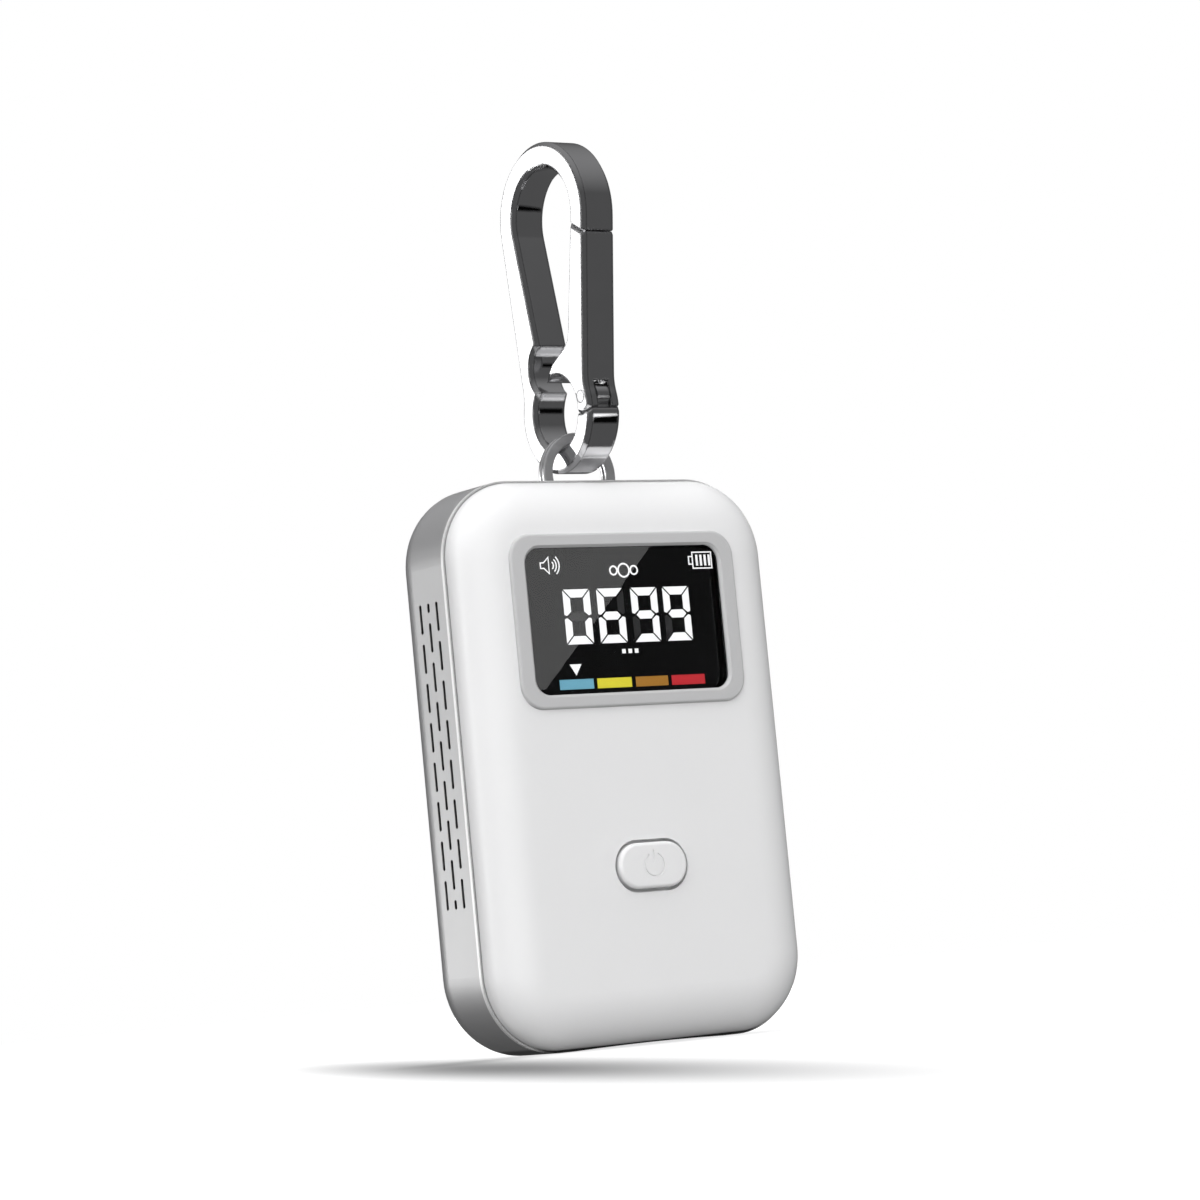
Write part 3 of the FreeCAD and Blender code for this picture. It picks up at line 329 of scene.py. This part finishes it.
def circuit_board(name):
    """Green lacquer over copper runs, with bare pads here and there."""
    s = Shader(name)
    across = s.sharp(s.waves(0.9, "X"), 0.72, 0.78)
    along = s.sharp(s.waves(0.9, "Z"), 0.72, 0.78)
    choose = s.sharp(s.noise(6.0, 0.0), 0.49, 0.51)
    runs = s.add("MixRGB", {"Fac": choose, "Color1": across, "Color2": along}).outputs[0]
    area = s.sharp(s.noise(4.0, 0.0), 0.40, 0.42)
    copper = s.maths("MULTIPLY", runs, area)
    lacquer = s.mix(copper, (0.006, 0.075, 0.03), (0.02, 0.16, 0.06))
    pads = s.maths("SUBTRACT", 1.0, s.sharp(s.cells(2.6), 0.11, 0.13))
    tint = s.mix(pads, lacquer, (0.75, 0.66, 0.42))
    relief = s.bump(copper, 0.02, s.bump(s.noise(0.2), 0.004))
    return s.surface(Base_Color=tint, Metallic=pads, Roughness=s.ranged(s.noise(3.0), 0.25, 0.38),
                     Normal=relief)


def flex_cable(name):
    """Amber film with fine copper lines along it."""
    s = Shader(name)
    lines = s.sharp(s.waves(0.3, "X"), 0.55, 0.65)
    tint = s.mix(lines, (0.50, 0.21, 0.03), (0.62, 0.33, 0.10))
    return s.surface(Base_Color=tint, Roughness=s.ranged(s.noise(1.5), 0.22, 0.34),
                     Metallic=s.ranged(lines, 0.0, 0.4), Normal=s.bump(lines, 0.01))


def pouch_foil(name):
    """Soft aluminium pouch, slightly wrinkled."""
    s = Shader(name)
    folds = s.noise(2.4, 3.0, (1, 1, 2))
    tint = s.mix(s.noise(6.0), (0.70, 0.71, 0.73), (0.58, 0.59, 0.61))
    return s.surface(Base_Color=tint, Metallic=0.9, Roughness=s.ranged(folds, 0.28, 0.46),
                     Normal=s.bump(folds, 0.12, s.soft_edges(0.2)))


def woven_screen(name):
    """Fine black screen cloth."""
    s = Shader(name)
    warp = s.waves(0.16, "Y")
    weft = s.waves(0.16, "Z")
    weave = s.maths("MAXIMUM", warp, weft)
    tint = s.mix(weave, (0.002, 0.002, 0.002), (0.020, 0.020, 0.022))
    return s.surface(Base_Color=tint, Roughness=s.ranged(weave, 0.9, 0.6),
                     Normal=s.bump(weave, 0.05))


def glowing(name, colour, strength):
    """Lit ink of the display: brightest in the middle of each dot of its fine raster."""
    s = Shader(name)
    raster = s.maths("MULTIPLY", s.waves(0.12, "X"), s.waves(0.12, "Z"))
    level = s.maths("MULTIPLY", s.ranged(raster, 0.93, 1.0), s.ranged(s.noise(2.0), 0.95, 1.03))
    power = s.maths("MULTIPLY", level, strength)
    return s.surface(Base_Color=rgba(shade(colour, 0.2)), Roughness=0.6,
                     Emission_Color=rgba(colour), Emission_Strength=power)


def printed(name, colour):
    """Unlit ink, barely lighter than the glass."""
    s = Shader(name)
    tint = s.mix(s.noise(1.5), colour, shade(colour, 0.8))
    return s.surface(Base_Color=tint, Roughness=s.ranged(s.noise(0.8), 0.45, 0.6))


STEEL = (0.62, 0.62, 0.63)
FINISHES = {
    "cover_white": lambda n: plastic(n, (0.83, 0.83, 0.835), 0.24, 0.5, 0.0015, 0.25),
    # painted shade: the white housing is coloured dark grey all over, standing in for the shade
    # along its side
    "housing_white": lambda n: plastic(n, (0.33, 0.33, 0.335), 0.34, 0.25, 0.003, 1.0, 0.30,
                                       slots=True),
    "bezel_grey": lambda n: plastic(n, (0.53, 0.53, 0.535), 0.34, 0.25, 0.002, 0.10),
    "window_clear": window_glass,
    "lcd_black": display_glass,
    "light_guide": light_guide,
    "holder_black": lambda n: plastic(n, (0.012, 0.012, 0.013), 0.5, 0.2, 0.006),
    "flex_amber": flex_cable,
    "button_white": lambda n: plastic(n, (0.83, 0.83, 0.835), 0.26, 0.4, 0.0015, 0.25),
    "switch_black": lambda n: plastic(n, (0.02, 0.02, 0.022), 0.4, 0.2, 0.005),
    "plunger_red": lambda n: plastic(n, (0.55, 0.03, 0.02), 0.35, 0.2, 0.003),
    "pcb_green": circuit_board,
    "chip_black": lambda n: plastic(n, (0.018, 0.018, 0.020), 0.55, 0.12, 0.010),
    "inductor_grey": lambda n: plastic(n, (0.10, 0.10, 0.105), 0.6, 0.15, 0.015),
    "capacitor_tan": lambda n: plastic(n, (0.42, 0.29, 0.17), 0.45, 0.15, 0.006),
    "can_steel": lambda n: metal(n, (0.70, 0.70, 0.71), 0.26, (1, 1, 12), 0.12, 0.002),
    "membrane_white": lambda n: foam(n, (0.85, 0.85, 0.85), 0.12),
    "foam_grey": lambda n: foam(n, (0.12, 0.12, 0.13), 0.5),
    "pouch_silver": pouch_foil,
    "pad_white": lambda n: foam(n, (0.78, 0.78, 0.76), 0.35),
    "lead_red": lambda n: plastic(n, (0.50, 0.02, 0.02), 0.5, 0.2, 0.006),
    "lead_black": lambda n: plastic(n, (0.015, 0.015, 0.016), 0.5, 0.2, 0.006),
    "plug_white": lambda n: plastic(n, (0.80, 0.79, 0.74), 0.4, 0.25, 0.004),
    "buzzer_black": lambda n: plastic(n, (0.015, 0.015, 0.017), 0.45, 0.2, 0.008),
    "port_steel": lambda n: metal(n, (0.60, 0.60, 0.61), 0.22, (1, 1, 8), 0.15, 0.002),
    "screen_mesh": woven_screen,
    "screw_steel": lambda n: metal(n, (0.45, 0.45, 0.46), 0.3, (1, 8, 1), 0.12, 0.003),
    "insert_brass": lambda n: metal(n, (0.75, 0.53, 0.23), 0.3, (1, 8, 1), 0.12, 0.003),
    "ring_steel": lambda n: metal(n, STEEL, 0.12, (4, 4, 4), 0.10, 0.0012, metallic=0.7),
    # the carabiner gets painted shade along its outline, 0.42 mm wide
    "carabiner_chrome": lambda n: metal(n, (0.74, 0.74, 0.75), 0.03, (1, 1, 1), 0.5, 0.0002, 0.002,
                                        0.42, 0.24),
    "spring_steel": lambda n: metal(n, STEEL, 0.2, (1, 1, 1), 0.1, 0.001),
}


def dress_nodes():
    """Gives every CAD node the material of its slot in the record."""
    made = {}
    for row in frame["record"]["subparts"]:
        name = row["material_slot"]
        if name not in made:
            made[name] = FINISHES[name](name)
        node = frame["nodes"][row["node"]]
        for holder in node.material_slots:
            holder.material = made[name]


# ---------------------------------------------------------------- display marks
def stroke(points, width, closed=False):
    """A line of some width along points, as one four-cornered shape per step."""
    points = [Vector(p) for p in points]
    count = len(points)
    left, right = [], []
    for i, point in enumerate(points):
        before = after = None
        if i or closed:
            before = (point - points[i - 1]).normalized()
        if i + 1 < count or closed:
            after = (points[(i + 1) % count] - point).normalized()
        run = ((before or after) + (after or before)).normalized()
        side = Vector((-run.y, run.x))
        reach = width / 2
        if before and after:
            reach /= max(0.5, side.dot(Vector((-after.y, after.x))))
        left.append(point + side * reach)
        right.append(point - side * reach)
    steps = count if closed else count - 1
    return [[left[i], left[(i + 1) % count], right[(i + 1) % count], right[i]]
            for i in range(steps)]


def arc(x, z, radius, start, end, steps=14):
    """Points on an arc, in degrees."""
    turns = [math.radians(start + (end - start) * i / steps) for i in range(steps + 1)]
    return [(x + radius * math.cos(t), z + radius * math.sin(t)) for t in turns]


def segments():
    """The seven segments of one digit, by letter."""
    w, h, t, g = DIGIT_W, DIGIT_H, STROKE, JOINT
    m = h / 2
    top = [(g, h), (w - g, h), (w - t - g, h - t), (t + g, h - t)]
    upper = [(0, h - g), (t, h - t - g), (t, m + t / 2 + g), (t / 2 - g, m + g), (0, m + 2 * g)]
    middle = [(t / 2 + g, m), (t + g, m + t / 2), (w - t - g, m + t / 2),
              (w - t / 2 - g, m), (w - t - g, m - t / 2), (t + g, m - t / 2)]

    def flip_x(shape):
        return [(w - x, z) for x, z in shape]

    def flip_z(shape):
        return [(x, h - z) for x, z in shape]

    return {"a": top, "b": flip_x(upper), "c": flip_x(flip_z(upper)), "d": flip_z(top),
            "e": flip_z(upper), "f": upper, "g": middle}


def moved(shape, x, z):
    """A shape shifted."""
    return [(px + x, pz + z) for px, pz in shape]


def digit_shapes(lit):
    """Every lit, or every unlit, segment of the reading."""
    shapes = []
    for digit, left in zip(DIGITS, DIGIT_LEFT):
        for letter, shape in segments().items():
            if (letter in LIT[digit]) == lit:
                shapes.append(moved(shape, left, DIGIT_BOTTOM))
    return shapes


def gas_shapes():
    """Molecule sign: three rings in a row, the middle one larger."""
    shapes = []
    for x, radius in ((-1.25, 0.50), (0.20, 0.78), (1.65, 0.50)):
        shapes += stroke(arc(x, 54.83, radius, 0, 342, 19), 0.20, True)
    return shapes


def tick_shapes():
    """Three short marks under the reading."""
    return [[(x, 45.1), (x + 0.5, 45.1), (x + 0.5, 45.6), (x, 45.6)] for x in (-1.1, -0.2, 0.7)]


def speaker_shapes():
    """Loudspeaker sign with three sound arcs."""
    mid = 55.6
    body = [(-11.4, mid - 0.32), (-10.95, mid - 0.32), (-10.25, mid - 0.95),
            (-10.25, mid + 0.95), (-10.95, mid + 0.32), (-11.4, mid + 0.32)]
    shapes = stroke(body, 0.14, True)
    for radius in (0.55, 0.95, 1.35):
        shapes += stroke(arc(-10.15, mid, radius, -48, 48), 0.15)
    return shapes


def battery_shapes():
    """Battery sign, full."""
    low, high = 54.85, 56.75
    body = [(10.25, low), (13.0, low), (13.0, high), (10.25, high)]
    cap = [(10.2, 55.35), (9.7, 55.35), (9.7, 56.25), (10.2, 56.25)]
    shapes = stroke(body, 0.15, True) + stroke(cap, 0.15)
    for i in range(4):
        x = 10.72 + i * 0.6
        shapes.append([(x, 55.15), (x + 0.3, 55.15), (x + 0.3, 56.45), (x, 56.45)])
    return shapes


def pointer_shapes():
    """Small triangle that points at one of the bars."""
    return [[(-8.65, 44.05), (-7.0, 44.05), (-7.83, 42.75)]]


def ink(name, shapes, material):
    """Thin raised marks on the display glass, from flat outlines in millimetres.

    The outlines are placed by the middle of the window.
    """
    glass_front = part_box("lcd_panel")[0].y
    low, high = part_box("display_window")
    middle = (low + high) / 2
    back = glass_front - INK_GAP
    front = back - INK_T
    mesh = bpy.data.meshes.new(name)
    bm = bmesh.new()
    for shape in shapes:
        spots = [(middle.x + (x + CONTENT_DX) * MM, middle.z + (z + CONTENT_DZ - DRAWN_MIDDLE) * MM)
                 for x, z in shape]
        area = sum(a[0] * b[1] - b[0] * a[1] for a, b in zip(spots, spots[1:] + spots[:1]))
        if area < 0:
            spots.reverse()
        near = [bm.verts.new((x, front, z)) for x, z in spots]
        far = [bm.verts.new((x, back, z)) for x, z in spots]
        bm.faces.new(near)
        bm.faces.new(far[::-1])
        for i in range(len(spots)):
            j = (i + 1) % len(spots)
            bm.faces.new((near[j], near[i], far[i], far[j]))
    bmesh.ops.triangulate(bm, faces=[f for f in bm.faces if len(f.verts) > 4])
    bm.to_mesh(mesh)
    bm.free()
    piece = bpy.data.objects.new(name, mesh)
    bpy.context.scene.collection.objects.link(piece)
    mesh.materials.append(material)
    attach(piece, "case")
    return piece


def light_display():
    """The reading, the signs and the coloured scale."""
    white = glowing("ink_white", WHITE_INK, 1.0)
    ink("lcd_digits", digit_shapes(True), white)
    ink("lcd_unlit_segments", digit_shapes(False), printed("ink_unlit", (0.012, 0.012, 0.013)))
    ink("lcd_gas_sign", gas_shapes(), white)
    ink("lcd_ticks", tick_shapes(), white)
    ink("lcd_speaker", speaker_shapes(), white)
    ink("lcd_battery", battery_shapes(), white)
    ink("lcd_pointer", pointer_shapes(), white)
    for name, left, right, colour in BARS:
        shape = [(left, BAR_BOTTOM), (right, BAR_BOTTOM), (right, BAR_TOP), (left, BAR_TOP)]
        ink(name, [shape], glowing("ink_" + name, colour, 1.0))


# ---------------------------------------------------------------- camera and studio
def place_camera():
    """Camera at the photograph's viewing angle, a little below the display."""
    yaw, pitch, roll = (math.radians(a) for a in (CAMERA_YAW, CAMERA_PITCH, CAMERA_ROLL))
    forward = Vector((math.cos(pitch) * math.sin(yaw), math.cos(pitch) * math.cos(yaw),
                      math.sin(pitch)))
    level = Vector((math.cos(yaw), -math.sin(yaw), 0.0))
    down = forward.cross(level)
    right = math.cos(roll) * level + math.sin(roll) * down
    down = forward.cross(right)
    data = bpy.data.cameras.new("camera")
    data.sensor_width = 36.0
    data.lens = CAMERA_LENS
    data.clip_start = 0.01
    camera = bpy.data.objects.new("camera", data)
    bpy.context.scene.collection.objects.link(camera)
    turn = Matrix((right, -down, -forward)).transposed()
    camera.matrix_world = Matrix.Translation(CAMERA_AT) @ turn.to_4x4()
    bpy.context.scene.camera = camera


def aim(thing, target):
    """Turns a light to face a point."""
    thing.rotation_euler = (target - thing.location).to_track_quat("-Z", "Y").to_euler()


def softbox(name, at, side, power):
    """Soft square light aimed at the middle of the object."""
    data = bpy.data.lights.new(name, "AREA")
    data.shape = "RECTANGLE"
    data.size = side
    data.size_y = side
    data.energy = power
    light = bpy.data.objects.new(name, data)
    bpy.context.scene.collection.objects.link(light)
    light.location = at
    light.visible_glossy = False
    aim(light, LIGHT_TARGET)


def card(name, corners, stops, low, high, power):
    """Flat card whose glow changes with height: stops are (height 0..1, level)."""
    mesh = bpy.data.meshes.new(name)
    mesh.from_pydata([tuple(c) for c in corners], [], [tuple(range(len(corners)))])
    thing = bpy.data.objects.new(name, mesh)
    bpy.context.scene.collection.objects.link(thing)
    s = Shader(name)
    height = s.add("SeparateXYZ", {"Vector": s.place}).outputs["Z"]
    ramp = s.add("ValToRGB", {"Fac": s.sharp(height, low, high)})
    while len(ramp.color_ramp.elements) < len(stops):
        ramp.color_ramp.elements.new(0.5)
    for element, (place, level) in zip(ramp.color_ramp.elements, stops):
        element.position = place
        element.color = (level, level, level, 1.0)
    glow = s.add("Emission", {"Color": ramp.outputs[0], "Strength": power})
    s.close(glow.outputs[0])
    mesh.materials.append(s.material)
    thing.visible_camera = False
    thing.visible_shadow = False
    thing.visible_diffuse = False
    thing.visible_transmission = False


def build_floor():
    """Pale floor that glows white, less so in the pool of shade and close round the case."""
    mesh = bpy.data.meshes.new("floor")
    corners = [(-1, -1), (1, -1), (1, 1), (-1, 1)]
    mesh.from_pydata([(x * FLOOR_HALF, y * FLOOR_HALF, FLOOR_Z) for x, y in corners], [],
                     [(0, 1, 2, 3)])
    floor = bpy.data.objects.new("floor", mesh)
    bpy.context.scene.collection.objects.link(floor)
    s = Shader("floor")
    tint = s.mix(s.noise(180.0), (0.10, 0.10, 0.10), (0.095, 0.095, 0.098))
    across = s.maths("ADD", s.along(SHADE_ACROSS), SHADE_ACROSS_AT)
    along = s.maths("ADD", s.along(SHADE_ALONG), SHADE_ALONG_AT)
    pool = s.falloff(s.maths("ADD", s.maths("MULTIPLY", across, across),
                             s.maths("MULTIPLY", along, along)), SHADE_DEPTH)
    near = s.add("VectorMath", {0: s.place, 1: CONTACT_SIZE}, operation="DIVIDE").outputs[0]
    reach = s.add("VectorMath", {0: near}, operation="LENGTH").outputs["Value"]
    contact = s.falloff(s.maths("MULTIPLY", reach, reach), CONTACT_DEPTH)
    glow = s.maths("SUBTRACT", s.maths("SUBTRACT", 1.0, pool), contact)
    mesh.materials.append(s.surface(Base_Color=tint, Roughness=0.9, Specular_IOR_Level=0.1,
                                    Emission_Color=(1, 1, 1, 1), Emission_Strength=glow))
    floor.visible_glossy = False
    floor.visible_diffuse = False


def build_world():
    """Room: white to the camera, dark to mirrors, a soft grey from below to above for the rest."""
    world = bpy.data.worlds.new("studio")
    bpy.context.scene.world = world
    world.use_nodes = True
    tree = world.node_tree
    tree.nodes.clear()
    path = tree.nodes.new("ShaderNodeLightPath")
    spot = tree.nodes.new("ShaderNodeTexCoord")
    split = tree.nodes.new("ShaderNodeSeparateXYZ")
    tree.links.new(spot.outputs["Generated"], split.inputs[0])

    def by_height(stops):
        """Colour that changes with the direction's height."""
        ramp = tree.nodes.new("ShaderNodeValToRGB")
        tree.links.new(split.outputs["Z"], ramp.inputs[0])
        for element, (place, colour) in zip(ramp.color_ramp.elements, stops):
            element.position = place
            element.color = colour
        return ramp.outputs[0]

    room = tree.nodes.new("ShaderNodeMixRGB")
    tree.links.new(path.outputs["Is Glossy Ray"], room.inputs["Fac"])
    tree.links.new(by_height(ROOM_LIT), room.inputs["Color1"])
    tree.links.new(by_height(ROOM_MIRRORED), room.inputs["Color2"])
    mix = tree.nodes.new("ShaderNodeMixRGB")
    tree.links.new(path.outputs["Is Camera Ray"], mix.inputs["Fac"])
    tree.links.new(room.outputs[0], mix.inputs["Color1"])
    mix.inputs["Color2"].default_value = ROOM_SEEN
    back = tree.nodes.new("ShaderNodeBackground")
    tree.links.new(mix.outputs[0], back.inputs["Color"])
    out = tree.nodes.new("ShaderNodeOutputWorld")
    tree.links.new(back.outputs[0], out.inputs["Surface"])


def side_corners(x, near, far, low, high):
    """Upright card that faces along X."""
    return [(x, near, low), (x, far, low), (x, far, high), (x, near, high)]


def front_corners(y, corners):
    """Upright card that faces along Y."""
    return [(x, y, z) for x, z in corners]


def place_cards():
    """What the side, the carabiner and the window mirror."""
    card("card_side", side_corners(SIDE_X, 0.20, 0.38, SIDE_LOW, SIDE_HIGH), SIDE_STOPS,
         SIDE_LOW, SIDE_HIGH, 7.4)
    card("card_chrome", side_corners(SIDE_X, 0.262, 0.312, SIDE_HIGH, CHROME_HIGH),
         ((0.0, 0.50), (1.0, 0.50)), SIDE_HIGH, CHROME_HIGH, 6.0)
    card("card_left", side_corners(LEFT_X, -0.10, -0.30, LEFT_LOW, LEFT_HIGH),
         ((0.0, 0.30), (1.0, 0.30)), LEFT_LOW, LEFT_HIGH, 4.0)
    card("card_glare", front_corners(GLARE_Y, GLARE_CORNERS), ((0.0, 1.0), (1.0, 1.0)),
         WINDOW_LOW, WINDOW_HIGH, 1.6)
    card("card_dark", front_corners(DARK_Y, DARK_CORNERS), ((0.0, 1.0), (1.0, 1.0)),
         WINDOW_LOW, WINDOW_HIGH, 0.002)


def build_studio():
    """Floor, room, lights and cards."""
    build_floor()
    build_world()
    for name, at, side, power in LIGHTS:
        softbox(name, at, side, power)
    place_cards()
    bpy.context.scene.view_settings.view_transform = "Standard"
    bpy.context.scene.view_settings.look = "None"


place_camera()
dress_nodes()
light_display()
build_studio()
